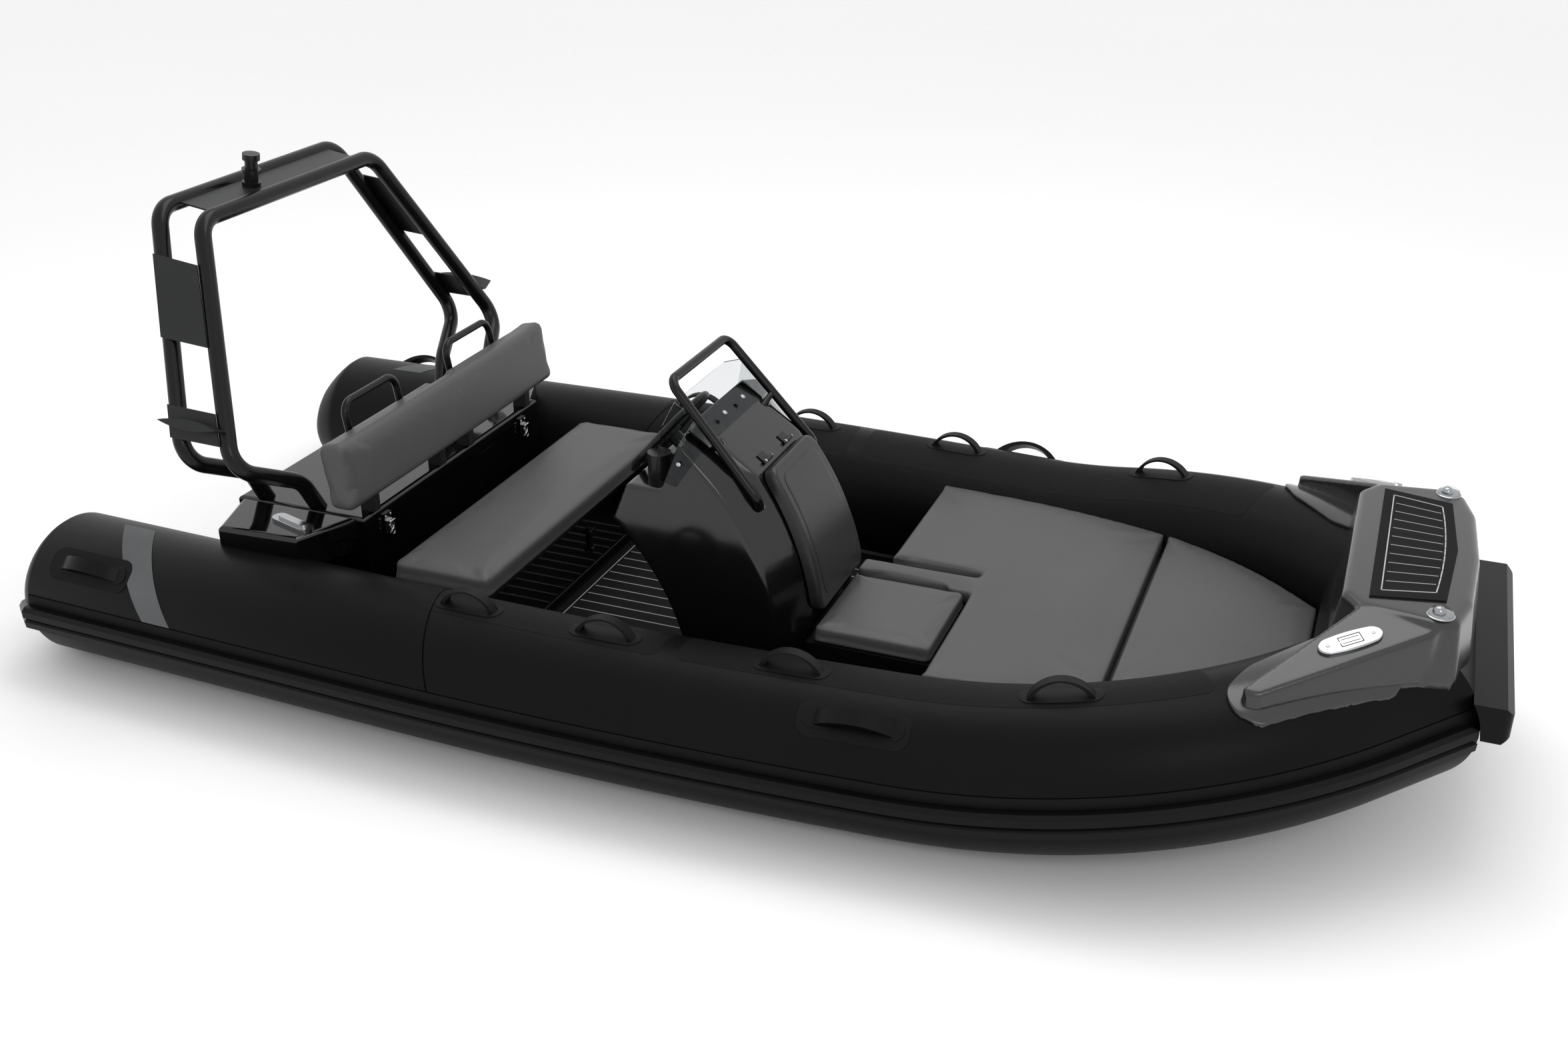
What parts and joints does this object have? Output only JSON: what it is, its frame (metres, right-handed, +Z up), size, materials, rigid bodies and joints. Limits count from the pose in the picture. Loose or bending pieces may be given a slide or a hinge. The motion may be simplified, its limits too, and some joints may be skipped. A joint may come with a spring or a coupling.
{
  "type": "rigid inflatable boat",
  "caption": "Rigid-hull inflatable boat with black buoyancy tubes, an offset helm console, bow cushions, a stern bench and a roll bar.",
  "frame": {"origin": "on the centreline at the waterline, about amidships", "axes": "+X forward to the bow, +Y to port, +Z up"},
  "size_m": [4.8068, 2.344, 1.9338],
  "materials": {
    "tube_fabric": "matte",
    "rubber": "satin",
    "strap": "woven",
    "hull_paint": "satin",
    "deck_paint": "textured",
    "foam_pad": "brushed foam",
    "moulding_dark": "satin",
    "moulding_gloss": "gloss",
    "cushion": "grained",
    "chrome": "polished",
    "screen": "clear",
    "bar_paint": "satin",
    "plate_paint": "satin",
    "plastic": "satin"
  },
  "bodies": {
    "boat": {"tube_port": "tube_fabric", "tube_starboard": "tube_fabric", "tube_bow": "tube_fabric", "strake_port": "rubber", "strake_starboard": "rubber", "bow_fender": "rubber", "grab_straps_port": "strap", "grab_straps_starboard": "strap", "carry_handles_port": "rubber", "carry_handles_starboard": "rubber", "hull": "hull_paint", "stem": "hull_paint", "deck": "deck_paint", "deck_pads": "foam_pad", "transom": "hull_paint", "tow_eyes": "chrome", "bow_locker": "moulding_dark", "bow_cushion": "cushion", "bow_tip_cushion": "cushion", "front_seat_cushion": "cushion", "bow_step": "moulding_gloss", "bow_step_pad": "foam_pad", "bow_cleats": "chrome", "nav_lights": "chrome", "console": "moulding_gloss", "hatch_hinges": "chrome", "windscreen": "screen", "console_rail": "bar_paint", "control_drum": "plastic", "helm_boss": "plastic", "bench_box": "moulding_dark", "stern_locker": "moulding_dark", "stern_quarters": "moulding_gloss", "stern_cleats": "chrome", "locker_latches": "plastic", "backrest": "cushion", "backrest_brackets": "plastic", "backrest_hoops": "bar_paint", "roll_bar_fore_hoop": "bar_paint", "roll_bar_aft_hoop": "bar_paint", "roll_bar_top_plate": "plate_paint", "roll_bar_side_plates": "plate_paint", "roll_bar_steps": "plate_paint", "all_round_light": "plastic"},
    "steering_wheel": {"steering_wheel": "plastic"},
    "console_hatch": {"console_hatch": "moulding_gloss"},
    "bench_lid": {"bench_lid": "moulding_dark", "bench_cushion": "cushion"}
  },
  "joints": [
    {"name": "steering_wheel", "type": "hinge", "parent": "boat", "child": "steering_wheel", "pos_m": [-0.288, -0.258, 0.895], "axis": [-0.766, 0, 0.6428], "range_deg": [-540, 540]},
    {"name": "console_hatch", "type": "hinge", "parent": "boat", "child": "console_hatch", "pos_m": [0.09287, -0.258, 0.89483], "axis": [0, -1, 0], "range_deg": [0, 85]},
    {"name": "bench_lid", "type": "hinge", "parent": "boat", "child": "bench_lid", "pos_m": [-1.139, 0, 0.374], "axis": [0, -1, 0], "range_deg": [0, 80]}
  ]
}
